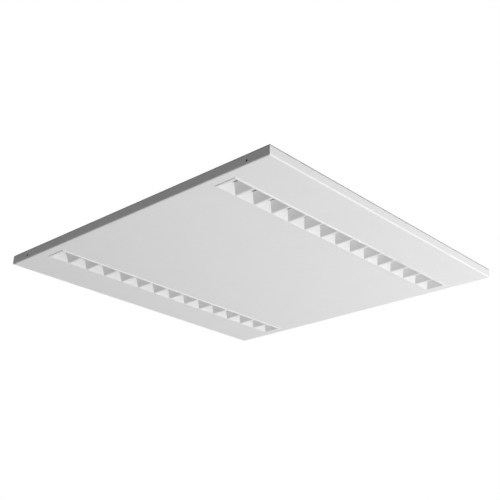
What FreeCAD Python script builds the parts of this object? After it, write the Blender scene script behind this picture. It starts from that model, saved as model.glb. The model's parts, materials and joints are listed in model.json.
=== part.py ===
import FreeCAD, Part
import math
import os
import re

import PartDesign
import Sketcher
import Spreadsheet

# Square surface mounted office luminaire with two rows of reflector cells.
# Millimetres, +Z up. The origin is the middle of the ceiling plane, X runs along the rows of cells.

SIZES = [
    ("panel_side", 600, "outer side of the square tray"),
    ("panel_height", 16, "ceiling plane to the underside of the tray"),
    ("tray_gauge", 0.8, "sheet of the tray"),
    ("tray_bend", 2.2, "outer radius of the tray's folds"),
    ("flange_width", 9, "return flange on top of the tray walls, from the outer face"),
    ("mitre_gap", 0.8, "slit between two return flanges in a corner"),
    ("seal_inset", 0.3, "foam strip on the upper folds inside the tray's outer faces"),
    ("seal_margin", 0.66, "upper fold that stays free inside that strip"),
    ("wall_hole_inset", 42.5, "set screw hole from the tray's corner"),
    ("wall_hole_rise", 6.5, "set screw hole above the underside"),
    ("wall_hole_gap", 0.2, "set screw hole around the screw, each side"),
    ("strip_inset", 100, "middle of a row of cells from the tray's side"),
    ("end_margin", 20, "least distance from the tray's end to a row's first divider"),
    ("cell_pitch", 40, "one cell to the next"),
    ("divider", 4.0, "land between two cells at the mouth"),
    ("mouth_width", 35.2, "cell mouth across the row"),
    ("rim_width", 3.2, "reflector rim beside the mouths"),
    ("rim_end", 4.0, "reflector rim beyond the end mouths"),
    ("rim_drop", 1.0, "reflector rim below the tray's underside"),
    ("window_length", 4, "window at the top of a cell, along the row"),
    ("window_width", 10, "window at the top of a cell, across the row"),
    ("throat", 1.4, "straight height of a window"),
    ("screw_headroom", 0.6, "board screws below the ceiling plate"),
    ("cell_bulge", 0.4, "how far a cell wall bows outwards halfway up"),
    ("shell_side", 1.6, "back of the reflector from a cell's mouth, measured sideways"),
    ("shell_land", 1.2, "land around a window on top of the reflector"),
    ("skirt_wall", 1.0, "upright wall of the reflector in the tray's slot"),
    ("skirt_over", 0.4, "that wall above the snap hooks"),
    ("web_height", 1.7, "web between the cells above the rim's lower face"),
    ("slot_clearance", 0.4, "tray slot around the reflector's skirt, each side"),
    ("hook_reach", 0.8, "snap hook over the slot's edge"),
    ("hook_height", 1.9, "height of a snap hook"),
    ("hook_length", 10, "snap hook along the row"),
    ("hook_gap", 0.1, "snap hook above the tray's floor"),
    ("boss_diameter", 5, "screw boss between two cells"),
    ("board_width", 16, "light source board across the row"),
    ("board_thick", 1.0, "light source board"),
    ("board_end_gap", 4.2, "end of the board from the tray's wall"),
    ("spreader_width", 22, "heat spreader across the row"),
    ("spreader_thick", 1.0, "heat spreader"),
    ("led_side", 3.0, "side of a light emitting diode"),
    ("led_height", 0.6, "height of a light emitting diode"),
    ("connector_length", 11, "board connector along the row"),
    ("connector_depth", 8, "board connector across the row"),
    ("connector_height", 4.2, "board connector below the board"),
    ("tapping_screw", 2.3, "diameter of the board screws"),
    ("tapping_gap", 0.05, "board screw in its hole, each side"),
    ("tapping_head", 4.0, "hexagon head of a board screw across flats"),
    ("tapping_head_height", 1.2, "height of that head"),
    ("tapping_depth", 5, "board screw below the top of its boss"),
    ("plate_gauge", 0.8, "sheet of the ceiling plate"),
    ("plate_gap", 0.6, "ceiling plate to the tray's return flange"),
    ("plate_corner", 6, "corner radius of the ceiling plate"),
    ("bead_length", 380, "stiffening bead in the ceiling plate"),
    ("bead_width", 9, "width of a bead below the plate"),
    ("bead_depth", 1.2, "depth of a bead"),
    ("bead_offset", 115, "bead from the middle of the plate"),
    ("fixing_spacing_x", 400, "ceiling screw slots, along the rows"),
    ("fixing_spacing_y", 300, "ceiling screw slots, across the rows"),
    ("fixing_slot_width", 5.5, "width of a ceiling screw slot"),
    ("fixing_slot_length", 16, "length of a ceiling screw slot"),
    ("dish_diameter", 34, "pressed dish around the cable entry"),
    ("dish_depth", 1.6, "depth of that dish"),
    ("grommet_bore", 12, "bore of the cable grommet"),
    ("grommet_neck", 18, "neck of the grommet in the plate's hole"),
    ("grommet_lip", 26, "lips of the grommet"),
    ("grommet_lip_thick", 1.6, "thickness of a lip"),
    ("grommet_gap", 0.05, "grommet neck in the plate's hole, each side"),
    ("ear_length", 30, "turned down ear of the ceiling plate"),
    ("ear_bend", 1.8, "outer radius of the fold of an ear"),
    ("ear_floor_gap", 2.2, "lower edge of an ear above the tray's floor"),
    ("notch_width", 1.2, "relief notch beside an ear"),
    ("notch_depth", 3.0, "depth of that notch"),
    ("set_screw", 4, "diameter of the set screws"),
    ("set_screw_gap", 0.05, "set screw in its nut, each side"),
    ("set_screw_recess", 1.2, "set screw inside the tray's outer face"),
    ("set_screw_tip_gap", 0.1, "set screw tip to the ear"),
    ("set_screw_socket", 2.0, "hexagon socket across flats"),
    ("set_screw_socket_depth", 2.2, "depth of the socket"),
    ("set_screw_chamfer", 0.7, "chamfer at the tip of a set screw"),
    ("set_screw_tip", 2.6, "flat of that tip"),
    ("press_nut", 8, "press nut in the tray's wall"),
    ("press_nut_thick", 3, "thickness of a press nut"),
    ("stud", 3, "diameter of the weld studs"),
    ("stud_length", 6, "length of a weld stud"),
    ("stud_gap", 0.2, "hole around a stud, each side"),
    ("nut_flats", 5.5, "stud nut across flats"),
    ("nut_height", 2.4, "height of a stud nut"),
    ("nut_gap", 0.05, "stud in its nut, each side"),
    ("driver_length", 250, "driver case"),
    ("driver_width", 34, "driver case"),
    ("driver_headroom", 3.6, "ceiling plane to the top of the driver"),
    ("driver_edge", 1.2, "edge radius of the driver case"),
    ("driver_gauge", 0.6, "sheet of the driver's cover"),
    ("driver_x", -96, "input end of the driver case"),
    ("driver_y", 80, "middle line of the driver"),
    ("driver_foot", 13, "mounting foot past the end of the case"),
    ("driver_foot_width", 7, "width of a mounting foot"),
    ("driver_foot_thick", 0.8, "sheet of the feet"),
    ("foot_side_gap", 1.2, "nut on a mounting foot to the nearest lead"),
    ("driver_pillar", 4, "pillar under the driver's board"),
    ("driver_pillar_height", 1.6, "height of that pillar above the base"),
    ("driver_board_thick", 1.2, "circuit board of the driver"),
    ("component_gap", 1.2, "parts on the driver's board to the cover"),
    ("component_step", 38, "one part on the driver's board to the next"),
    ("transformer_length", 26, "transformer on the board"),
    ("transformer_width", 20, "transformer on the board"),
    ("choke_length", 18, "filter choke on the board"),
    ("choke_width", 14, "filter choke on the board"),
    ("capacitor_length", 20, "capacitor lying on the board"),
    ("driver_plug_depth", 12, "terminal block in the driver's end"),
    ("driver_plug_gap", 0.1, "that block in the case, each side"),
    ("driver_plug_headroom", 3.2, "that block below the top of the driver"),
    ("driver_entry", 8, "entry holes in the driver's terminals"),
    ("pole_margin", 4, "block beyond its outer poles"),
    ("input_pitch", 8, "poles at the driver's input"),
    ("block_length", 26, "mains terminal block along its wires"),
    ("block_headroom", 4.8, "ceiling plane to the top of the terminal block"),
    ("block_x", -90, "outgoing face of the terminal block"),
    ("block_wall", 1.0, "top wall of the terminal block"),
    ("block_base", 1.0, "base of the terminal block"),
    ("block_side", 1.5, "side wall of the terminal block"),
    ("block_ear_gap", 0.8, "nut on a mounting ear to the block"),
    ("block_ear_edge", 4, "ear beyond the middle of its stud"),
    ("block_ear_thick", 2.0, "thickness of those ears"),
    ("block_ear_length", 11, "length of those ears along the wires"),
    ("block_edge", 0.8, "upright edges of the terminal block"),
    ("pole_wall", 1.6, "wall between two clamp wells"),
    ("well_gap", 0.6, "clamp well around the lip of a button, each side"),
    ("button_length", 6.4, "release button along the wires"),
    ("button_width", 5.0, "release button across the wires"),
    ("button_proud", 0.4, "release button above the block when it is pressed"),
    ("button_travel", 1.2, "travel of a release button"),
    ("button_gap", 0.15, "button in its opening, each side"),
    ("button_foot", 0.6, "retaining lip of a button, each side"),
    ("button_foot_thick", 0.8, "thickness of that lip"),
    ("button_groove", 2.2, "round finger groove across a button"),
    ("button_groove_depth", 0.5, "depth of that groove"),
    ("spring_thick", 0.4, "leaf of a clamp spring"),
    ("spring_width", 4.0, "width of a clamp spring"),
    ("spring_length", 7.0, "clamp spring along the wires"),
    ("seat_gap", 0.05, "small gap between touching inner pieces"),
    ("contact_thick", 0.8, "contact bar in a clamp well"),
    ("contact_width", 4.0, "width of a contact bar"),
    ("wire", 2.2, "diameter of the mains wires"),
    ("wire_entry_gap", 0.2, "wire in its entry hole, each side"),
    ("wire_entry_depth", 12, "wire inside the terminal block"),
    ("entry_end_gap", 0.5, "end of a wire from the bottom of its hole"),
    ("wire_bend_x", 31, "how far the mains wires run before they turn back"),
    ("lead", 1.6, "diameter of the low voltage leads"),
    ("lead_rise", 2.6, "low voltage leads above the tray's floor"),
    ("lead_pitch", 4, "one lead to the next"),
    ("lead_entry_depth", 6, "lead inside a terminal"),
    ("lead_bend", 40, "bend of the leads where they turn towards the rows"),
    ("lead_climb", 16, "length of the climb to the board connector"),
    ("lead_straight", 9, "straight run into the board connector"),
    ("climb_bend", 12, "bend at both ends of the climb"),
    ("earth_gap", 32, "earth stud from the terminal block"),
    ("earth_y", 46, "earth stud across the rows"),
    ("earth_bend", 12, "bend of the earth wire"),
    ("ring_diameter", 7.4, "ring tongue of the earth lug"),
    ("ring_thick", 0.8, "sheet of the earth lug"),
    ("tongue_width", 2.6, "tongue between the ring and the barrel"),
    ("barrel_diameter", 3.2, "crimp barrel of the earth lug"),
    ("barrel_length", 6, "length of that barrel"),
    ("barrel_offset", 6, "barrel from the middle of the ring"),
    ("washer_thick", 0.5, "toothed washer on the earth stud"),
    ("washer_diameter", 6.4, "toothed washer on the earth stud"),
    ("clamp_gap", 17, "cable clamp from the terminal block"),
    ("clamp_length", 10, "cable clamp along the cable"),
    ("clamp_nut_gap", 4.0, "nut on a clamp foot to the arch"),
    ("clamp_foot", 9, "foot of the cable clamp"),
    ("clamp_thick", 1.8, "strap of the cable clamp"),
    ("cable_width", 10, "room for the cable under the clamp"),
    ("cable_height", 7.5, "height of that room"),
    ("clip_length", 8, "wire clip along the leads"),
    ("clip_wall", 0.9, "wall of a wire clip"),
    ("clip_gap", 0.1, "wire clip around its leads"),
    ("clip_base", 3, "adhesive foot beyond the clip, each side"),
    ("pair_clip_gap", 13, "clip on a pair of leads from the start of their climb"),
]

# Places and sizes that follow from the driving dimensions.
PLACES = [
    ("floor_top", "tray_gauge - panel_height"),
    ("inner_side", "panel_side - 2 * tray_gauge"),
    ("opening_side", "panel_side - 2 * flange_width"),
    ("plate_side", "opening_side - 2 * plate_gap"),
    ("seal_outer", "panel_side - 2 * seal_inset"),
    ("seal_inner", "panel_side - 2 * (tray_bend - seal_margin)"),
    ("strip_offset", "panel_side / 2 - strip_inset"),
    ("window_drop", "plate_gauge + screw_headroom + tapping_head_height + spreader_thick + board_thick"),
    ("cell_count", "floor((panel_side - 2 * end_margin) / cell_pitch + 0.001)"),
    ("row_length", "cell_count * cell_pitch"),
    ("board_tail", "(inner_side - row_length) / 2 - board_end_gap"),
    ("first_cell", "(cell_pitch - row_length) / 2"),
    ("mouth_length", "cell_pitch - divider"),
    ("rim_bottom", "-panel_height - rim_drop"),
    ("cell_depth", "panel_height + rim_drop - window_drop"),
    ("funnel_depth", "cell_depth - throat"),
    ("skirt_width", "mouth_width + 2 * skirt_wall"),
    ("skirt_length", "row_length - divider + 2 * skirt_wall"),
    ("skirt_height", "rim_drop + tray_gauge + hook_gap + hook_height + skirt_over"),
    ("rim_span", "mouth_width + 2 * rim_width"),
    ("rim_length", "row_length - divider + 2 * rim_end"),
    ("boss_count", "floor((cell_count - 2) / 4 + 0.001) + 1"),
    ("first_boss", "cell_pitch - row_length / 2"),
    ("boss_step", "4 * cell_pitch"),
    ("hook_count", "floor(cell_count / 2 + 0.001)"),
    ("hook_step", "2 * cell_pitch"),
    ("board_under", "-window_drop"),
    ("board_top", "board_thick - window_drop"),
    ("spreader_top", "board_thick + spreader_thick - window_drop"),
    ("board_length", "row_length + board_tail"),
    ("connector_x", "row_length / 2 + board_tail - connector_length / 2"),
    ("connector_level", "-window_drop - connector_height / 2"),
    ("hole_level", "wall_hole_rise - panel_height"),
    ("hole_y", "panel_side / 2 - wall_hole_inset"),
    ("ear_bottom", "floor_top + ear_floor_gap"),
    ("set_screw_start", "panel_side / 2 - set_screw_recess"),
    ("set_screw_end", "plate_side / 2 + set_screw_tip_gap"),
    ("grommet_hole", "grommet_neck + 2 * grommet_gap"),
    ("driver_height", "-driver_headroom - floor_top"),
    ("driver_plug_height", "driver_height - driver_foot_thick - driver_plug_gap - driver_plug_headroom"),
    ("driver_board_low", "floor_top + driver_foot_thick + driver_pillar_height"),
    ("driver_board_top", "driver_board_low + driver_board_thick"),
    ("component_height", "-driver_headroom - driver_gauge - component_gap - driver_board_top"),
    ("nut_corner", "nut_flats / 2 / cos(30)"),
    ("driver_foot_y", "driver_y - 1.5 * lead_pitch - lead / 2 - nut_corner - foot_side_gap"),
    ("foot_root", "3 * driver_gauge + driver_plug_gap"),
    ("driver_end", "driver_x + driver_length"),
    ("block_height", "-block_headroom - floor_top"),
    ("well_length", "button_length + 2 * button_foot + 2 * well_gap"),
    ("well_width", "button_width + 2 * button_foot + 2 * well_gap"),
    ("pole_pitch", "well_width + pole_wall"),
    ("block_middle", "block_x + block_length / 2"),
    ("block_width", "2 * pole_pitch + well_width + 2 * block_side"),
    ("block_stud_y", "block_width / 2 + nut_corner + block_ear_gap"),
    ("well_top", "-block_headroom - block_wall"),
    ("button_rise", "button_travel + button_proud"),
    ("wire_rise", "block_base + contact_thick + 2 * seat_gap + wire / 2"),
    ("wire_level", "floor_top + wire_rise"),
    ("lead_level", "floor_top + lead_rise"),
    ("stud_hole", "stud + 2 * stud_gap"),
    ("wire_turn_x", "block_x - wire_bend_x"),
    ("earth_x", "block_x - earth_gap"),
    ("clamp_x", "block_x + block_length + clamp_gap + clamp_length / 2"),
    ("clamp_span", "cable_width + 2 * clamp_thick + 2 * nut_corner + 2 * clamp_nut_gap"),
    ("climb_end", "strip_offset - connector_depth / 2 - lead_straight"),
    ("climb_start", "climb_end - lead_climb"),
    ("bundle_clip_x", "(driver_end + connector_x - lead_bend) / 2"),
    ("pair_clip_y", "climb_start - pair_clip_gap"),
]

SIDES = (("front", -1), ("rear", 1))
POLES = (("live", -1), ("neutral", 0), ("earth", 1))

# How near to a plane a point counts as lying on it
TOUCH = 0.01

doc = FreeCAD.newDocument("office_luminaire")
nodes = {}


def fill_sheet(name, rows):
    """Writes named rows into a sheet and gives each value cell its alias."""
    sheet = doc.addObject("Spreadsheet::Sheet", name)
    for number, (alias, value, note) in enumerate(rows, start=1):
        sheet.set(f"A{number}", note)
        sheet.set(f"B{number}", str(value))
        sheet.setAlias(f"B{number}", alias)
    doc.recompute()
    return sheet


SIZE_NAMES = {row[0] for row in SIZES}
PLACE_NAMES = {row[0] for row in PLACES}


def link(text, inside_places=False):
    """Turns the names in a formula into references to the two sheets."""
    def reference(match):
        word = match.group(0)
        if word in SIZE_NAMES:
            return "sizes." + word
        if word in PLACE_NAMES and not inside_places:
            return "places." + word
        return word
    return re.sub(r"[a-z][a-z_]*", reference, text)


sizes = fill_sheet("sizes", SIZES)
places = fill_sheet("places", [(name, "=" + link(text, True), name) for name, text in PLACES])


def get(name):
    """A driving dimension or a place, as a number."""
    return sizes.get(name) if name in SIZE_NAMES else places.get(name)


def bind(item, **formulas):
    """Binds properties to formulas; a double underscore stands for a dot."""
    for path, text in formulas.items():
        item.setExpression(path.replace("__", "."), link(text))
    return item


def move(item, x="0", y="0", z="0"):
    """Places an object by three formulas."""
    return bind(item, Placement__Base__x=x, Placement__Base__y=y, Placement__Base__z=z)


def node(label, item):
    """Declares an object as a sub-part of the luminaire."""
    item.Label = label
    nodes[label] = item
    return item


# Part solids

def box(name, size, middle, low):
    """A block centred on middle (x, y) and standing on the level low."""
    item = doc.addObject("Part::Box", name)
    bind(item, Length=size[0], Width=size[1], Height=size[2])
    return move(item, f"{middle[0]} - ({size[0]}) / 2", f"{middle[1]} - ({size[1]}) / 2", low)


UPRIGHT = FreeCAD.Rotation()
ALONG_X = FreeCAD.Rotation(FreeCAD.Vector(0, 1, 0), 90)
ALONG_Y = FreeCAD.Rotation(FreeCAD.Vector(1, 0, 0), -90)


def rod(name, diameter, length, start, turn=UPRIGHT):
    """A cylinder from its start point along Z, X or Y."""
    item = doc.addObject("Part::Cylinder", name)
    item.Placement = FreeCAD.Placement(FreeCAD.Vector(), turn)
    bind(item, Radius=f"({diameter}) / 2", Height=length)
    return move(item, *start)


def cone(name, low_diameter, high_diameter, length, start, turn=UPRIGHT):
    """A tapered cylinder from its start point along Z, X or Y."""
    item = doc.addObject("Part::Cone", name)
    item.Placement = FreeCAD.Placement(FreeCAD.Vector(), turn)
    bind(item, Radius1=f"({low_diameter}) / 2", Radius2=f"({high_diameter}) / 2", Height=length)
    return move(item, *start)


def hexagon(name, flats, height, start, turn=UPRIGHT):
    """A six sided prism from its start point along Z, X or Y."""
    item = doc.addObject("Part::Prism", name)
    item.Polygon = 6
    item.Placement = FreeCAD.Placement(FreeCAD.Vector(), turn)
    bind(item, Circumradius=f"({flats}) / 2 / cos(30)", Height=height)
    return move(item, *start)


def fuse(name, pieces):
    item = doc.addObject("Part::MultiFuse", name)
    item.Shapes = pieces
    item.Refine = True
    return item


def cut(name, base, tools):
    """Takes one or more tools away from a base."""
    item = doc.addObject("Part::Cut", name)
    item.Base = base
    item.Tool = tools[0] if len(tools) == 1 else fuse(name + "_tools", tools)
    return item


def group(name, pieces):
    """Separate solids that share one sub-part."""
    item = doc.addObject("Part::Compound", name)
    item.Links = pieces
    return item


def rounded(name, base, radius, wanted):
    """Rounds the edges of a base that the test accepts."""
    doc.recompute()
    edges = [n for n, edge in enumerate(base.Shape.Edges, start=1) if wanted(edge)]
    item = doc.addObject("Part::Fillet", name)
    item.Base = base
    item.Edges = [(n, get(radius), get(radius)) for n in edges]
    return item


# Sketched solids

def start_body(label):
    item = doc.addObject("PartDesign::Body", label)
    return node(label, item)


def sketch(body, name, role="XY_Plane", **offset):
    """A sketch on one of the body's own planes, moved by formulas in that plane's axes."""
    item = body.newObject("Sketcher::SketchObject", name)
    plane = next(feature for feature in body.Origin.OriginFeatures if feature.Role == role)
    item.AttachmentSupport = [(plane, "")]
    item.MapMode = "FlatFace"
    for axis, text in offset.items():
        item.setExpression(f"AttachmentOffset.Base.{axis}", link(text))
    return item


def dimension(drawing, kind, targets, formula):
    """Adds a driving constraint bound to a formula."""
    index = drawing.addConstraint(Sketcher.Constraint(kind, *targets))
    name = f"size_{index}"
    drawing.renameConstraint(index, name)
    drawing.setExpression("Constraints." + name, link(formula))


def polygon(drawing, corners):
    """Adds closed straight lines and returns the number of the first one."""
    first = drawing.GeometryCount
    points = [FreeCAD.Vector(x, y, 0) for x, y in corners]
    for here, there in zip(points, points[1:] + points[:1]):
        drawing.addGeometry(Part.LineSegment(here, there), False)
    count = len(points)
    for n in range(count):
        drawing.addConstraint(Sketcher.Constraint("Coincident", first + n, 2, first + (n + 1) % count, 1))
    return first


def rectangle(drawing, width, height):
    """A rectangle centred on the sketch's origin."""
    first = polygon(drawing, [(-5, -5), (5, -5), (5, 5), (-5, 5)])
    for n in (0, 2):
        drawing.addConstraint(Sketcher.Constraint("Horizontal", first + n))
        drawing.addConstraint(Sketcher.Constraint("Vertical", first + n + 1))
    drawing.addConstraint(Sketcher.Constraint("Symmetric", first, 1, first + 1, 2, -1, 1))
    dimension(drawing, "DistanceX", (first, 1, first, 2, 10.0), width)
    dimension(drawing, "DistanceY", (first + 1, 1, first + 1, 2, 10.0), height)
    return drawing


def circle(drawing, diameter):
    """A circle centred on the sketch's origin."""
    ring = Part.Circle(FreeCAD.Vector(), FreeCAD.Vector(0, 0, 1), 5)
    first = drawing.addGeometry(ring, False)
    drawing.addConstraint(Sketcher.Constraint("Coincident", first, 3, -1, 1))
    dimension(drawing, "Diameter", (first, 10.0), diameter)
    return drawing


def obround(drawing, length, width):
    """A slot outline along the sketch's own X, centred on its origin."""
    normal = FreeCAD.Vector(0, 0, 1)
    left = Part.Circle(FreeCAD.Vector(-5, 0, 0), normal, 2)
    right = Part.Circle(FreeCAD.Vector(5, 0, 0), normal, 2)
    first = drawing.GeometryCount
    drawing.addGeometry(Part.ArcOfCircle(left, math.pi / 2, 3 * math.pi / 2), False)
    drawing.addGeometry(Part.LineSegment(FreeCAD.Vector(-5, -2, 0), FreeCAD.Vector(5, -2, 0)), False)
    drawing.addGeometry(Part.ArcOfCircle(right, -math.pi / 2, math.pi / 2), False)
    drawing.addGeometry(Part.LineSegment(FreeCAD.Vector(5, 2, 0), FreeCAD.Vector(-5, 2, 0)), False)
    for n in range(4):
        drawing.addConstraint(Sketcher.Constraint("Tangent", first + n, 2, first + (n + 1) % 4, 1))
    drawing.addConstraint(Sketcher.Constraint("Symmetric", first, 3, first + 2, 3, -1, 1))
    drawing.addConstraint(Sketcher.Constraint("Horizontal", first + 1))
    drawing.addConstraint(Sketcher.Constraint("Equal", first, first + 2))
    dimension(drawing, "Radius", (first, 2.0), f"({width}) / 2")
    dimension(drawing, "DistanceX", (first, 3, first + 2, 3, 10.0), f"({length}) - ({width})")
    return drawing


def pad(body, drawing, length, reverse=False, middle=False):
    item = body.newObject("PartDesign::Pad", drawing.Name + "_pad")
    item.Profile = drawing
    item.Reversed = reverse
    if middle:
        item.SideType = "Symmetric"
    return bind(item, Length=length)


def pocket(body, drawing, length, reverse=False, middle=False):
    item = body.newObject("PartDesign::Pocket", drawing.Name + "_pocket")
    item.Profile = drawing
    item.Reversed = reverse
    if middle:
        item.SideType = "Symmetric"
    return bind(item, Length=length)


def fold(body, base, radius, wanted):
    """Rounds the edges of a feature that the test accepts."""
    doc.recompute()
    names = [f"Edge{n}" for n, edge in enumerate(base.Shape.Edges, start=1) if wanted(edge)]
    item = body.newObject("PartDesign::Fillet", base.Name + "_fold")
    item.Base = (base, names)
    return bind(item, Radius=radius)


def mirror(body, features, role):
    plane = next(item for item in body.Origin.OriginFeatures if item.Role == role)
    item = body.newObject("PartDesign::Mirrored", features[0].Name + "_mirror")
    item.Originals = features
    item.MirrorPlane = (plane, [""])
    body.Tip = item
    return item


def row(body, features, count, length):
    """Repeats features along X: count copies over a whole length."""
    axis = next(item for item in body.Origin.OriginFeatures if item.Role == "X_Axis")
    item = body.newObject("PartDesign::LinearPattern", features[0].Name + "_row")
    item.Originals = features
    item.Direction = (axis, [""])
    bind(item, Occurrences=count, Length=length)
    body.Tip = item
    return item


def round_about(body, features, count):
    axis = next(item for item in body.Origin.OriginFeatures if item.Role == "Z_Axis")
    item = body.newObject("PartDesign::PolarPattern", features[0].Name + "_turns")
    item.Originals = features
    item.Axis = (axis, [""])
    item.Angle = 360
    item.Occurrences = count
    body.Tip = item
    return item


def middle_of(edge):
    return edge.valueAt((edge.FirstParameter + edge.LastParameter) / 2)


def runs_along(edge, axis):
    """Whether a straight edge points along an axis more than along the other two."""
    direction = edge.tangentAt(edge.FirstParameter)
    return abs(getattr(direction, axis)) == max(abs(direction.x), abs(direction.y), abs(direction.z))


# Tray: one folded sheet with return flanges, two slots for the reflectors and holes for the set screws

def make_tray():
    body = start_body("tray")
    block = pad(body, rectangle(sketch(body, "tray_outline", z="-panel_height"), "panel_side", "panel_side"),
                "panel_height")
    fold(body, block, "tray_bend", lambda edge: not runs_along(edge, "z"))
    hollow = rectangle(sketch(body, "tray_hollow", z="-tray_gauge"), "inner_side", "inner_side")
    inside = pocket(body, hollow, "panel_height - 2 * tray_gauge")
    half = get("inner_side") / 2 + TOUCH

    def inner_edge(edge):
        point = middle_of(edge)
        level = get("floor_top") - TOUCH < point.z < TOUCH - get("tray_gauge")
        return level and max(abs(point.x), abs(point.y)) < half and not runs_along(edge, "z")

    fold(body, inside, "tray_bend - tray_gauge", inner_edge)
    mouth = rectangle(sketch(body, "tray_mouth"), "opening_side", "opening_side")
    pocket(body, mouth, "tray_gauge")
    slit = sketch(body, "tray_mitre")
    slit.AttachmentOffset = FreeCAD.Placement(FreeCAD.Vector(), FreeCAD.Rotation(45, 0, 0))
    slit_start = "(opening_side / 2 - mitre_gap)"
    slit_end = "(panel_side / 2 - tray_bend)"
    middle = f"({slit_start} + {slit_end}) / 2"
    bind(slit, AttachmentOffset__Base__x=middle, AttachmentOffset__Base__y=middle)
    rectangle(slit, f"({slit_end} - {slit_start}) * sqrt(2)", "mitre_gap")
    corner = pocket(body, slit, "tray_gauge")
    round_about(body, [corner], 4)
    slot = sketch(body, "tray_slot", y="strip_offset", z="-panel_height")
    rectangle(slot, "skirt_length + 2 * slot_clearance", "skirt_width + 2 * slot_clearance")
    strip_slot = pocket(body, slot, "tray_gauge", reverse=True)
    mirror(body, [strip_slot], "XZ_Plane")
    hole = sketch(body, "tray_wall_hole", role="YZ_Plane", x="hole_y", y="hole_level")
    circle(hole, "set_screw + 2 * wall_hole_gap")
    wall_hole = pocket(body, hole, "2 * panel_side", middle=True)
    mirror(body, [wall_hole], "XZ_Plane")


# Edge seal: foam strip in the hollow that the upper folds of the tray leave below the ceiling

def make_edge_seal():
    middle = ("0", "0")
    frame = box("seal_frame", ("seal_outer", "seal_outer", "tray_bend"), middle, "-tray_bend")
    opening = box("seal_opening", ("seal_inner", "seal_inner", "tray_bend"), middle, "-tray_bend")
    form = box("seal_seat", ("panel_side", "panel_side", "panel_height"), middle, "-panel_height")
    folds = rounded("seal_seat_folds", form, "tray_bend", lambda edge: middle_of(edge).z > -TOUCH)
    node("edge_seal", cut("edge_seal_cut", frame, [opening, folds]))


# Ceiling plate: flat sheet with four turned down ears, two beads, a dish for the cable and screw slots

def make_ear(body, side_x, side_y):
    """One ear at a corner of the plate, between two relief notches."""
    name = f"ear_{'right' if side_x > 0 else 'left'}_{'rear' if side_y > 0 else 'front'}"
    wall = sketch(body, name, x=f"{side_x} * (plate_side - plate_gauge) / 2", y=f"{side_y} * hole_y",
                  z="ear_bottom")
    pad(body, rectangle(wall, "plate_gauge", "ear_length"), "-ear_bottom")
    for end in (-1, 1):
        notch = sketch(body, f"{name}_notch_{'high' if end > 0 else 'low'}",
                       x=f"{side_x} * (plate_side - notch_depth) / 2",
                       y=f"{side_y} * hole_y + {end} * (ear_length + notch_width) / 2")
        cut_out = pocket(body, rectangle(notch, "notch_depth", "notch_width"), "plate_gauge")
    return cut_out


def make_ceiling_plate():
    body = start_body("ceiling_plate")
    outline = rectangle(sketch(body, "plate_outline", z="-plate_gauge"), "plate_side", "plate_side")
    sheet = pad(body, outline, "plate_gauge")
    fold(body, sheet, "plate_corner", lambda edge: runs_along(edge, "z"))
    for side_x in (-1, 1):
        for side_y in (-1, 1):
            last = make_ear(body, side_x, side_y)
    outer = get("plate_side") / 2
    inner = outer - get("plate_gauge")
    near = get("ear_length") / 2 + get("notch_width") / 2

    def fold_line(x, z):
        def wanted(edge):
            point = middle_of(edge)
            across = abs(abs(point.y) - get("hole_y")) < near and runs_along(edge, "y")
            return across and abs(abs(point.x) - x) < TOUCH and abs(point.z - z) < TOUCH
        return wanted

    last = fold(body, last, "ear_bend", fold_line(outer, 0))
    fold(body, last, "ear_bend - plate_gauge", fold_line(inner, -get("plate_gauge")))
    ridge = obround(sketch(body, "bead_ridge", y="bead_offset", z="-plate_gauge - bead_depth"),
                    "bead_length", "bead_width")
    ridge_pad = pad(body, ridge, "bead_depth")
    mirror(body, [ridge_pad], "XZ_Plane")
    groove = obround(sketch(body, "bead_groove", y="bead_offset"),
                     "bead_length - 2 * plate_gauge", "bead_width - 2 * plate_gauge")
    groove_pocket = pocket(body, groove, "bead_depth")
    mirror(body, [groove_pocket], "XZ_Plane")
    dish = circle(sketch(body, "dish_wall", z="-plate_gauge - dish_depth"), "dish_diameter + 2 * plate_gauge")
    pad(body, dish, "dish_depth")
    pocket(body, circle(sketch(body, "dish_hollow"), "dish_diameter"), "dish_depth")
    pocket(body, circle(sketch(body, "cable_hole"), "grommet_hole"), "dish_depth + plate_gauge")
    for side in (-1, 1):
        slot = sketch(body, f"fixing_slot_{'right' if side > 0 else 'left'}",
                      x=f"{side} * fixing_spacing_x / 2", y="fixing_spacing_y / 2")
        opening = pocket(body, obround(slot, "fixing_slot_length", "fixing_slot_width"), "plate_gauge")
        mirror(body, [opening], "XZ_Plane")


def make_grommet():
    """Rubber ring in the dish, with a lip on each face of the sheet."""
    low = "-dish_depth - plate_gauge - grommet_lip_thick"
    height = "plate_gauge + 2 * grommet_lip_thick"
    lips = [
        rod("grommet_low_lip", "grommet_lip", "grommet_lip_thick", ("0", "0", low)),
        rod("grommet_high_lip", "grommet_lip", "grommet_lip_thick", ("0", "0", "-dish_depth")),
    ]
    neck = rod("grommet_neck_rod", "grommet_neck", height, ("0", "0", low))
    bore = rod("grommet_bore_rod", "grommet_bore", height, ("0", "0", low))
    node("cable_grommet", cut("grommet", fuse("grommet_body", lips + [neck]), [bore]))


# Reflector: one moulding with a rim, a skirt with snap hooks and a row of four sided cells with bowed walls

# Flat stretches of a cell wall from its mouth to its window
CELL_STEPS = 3


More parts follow.
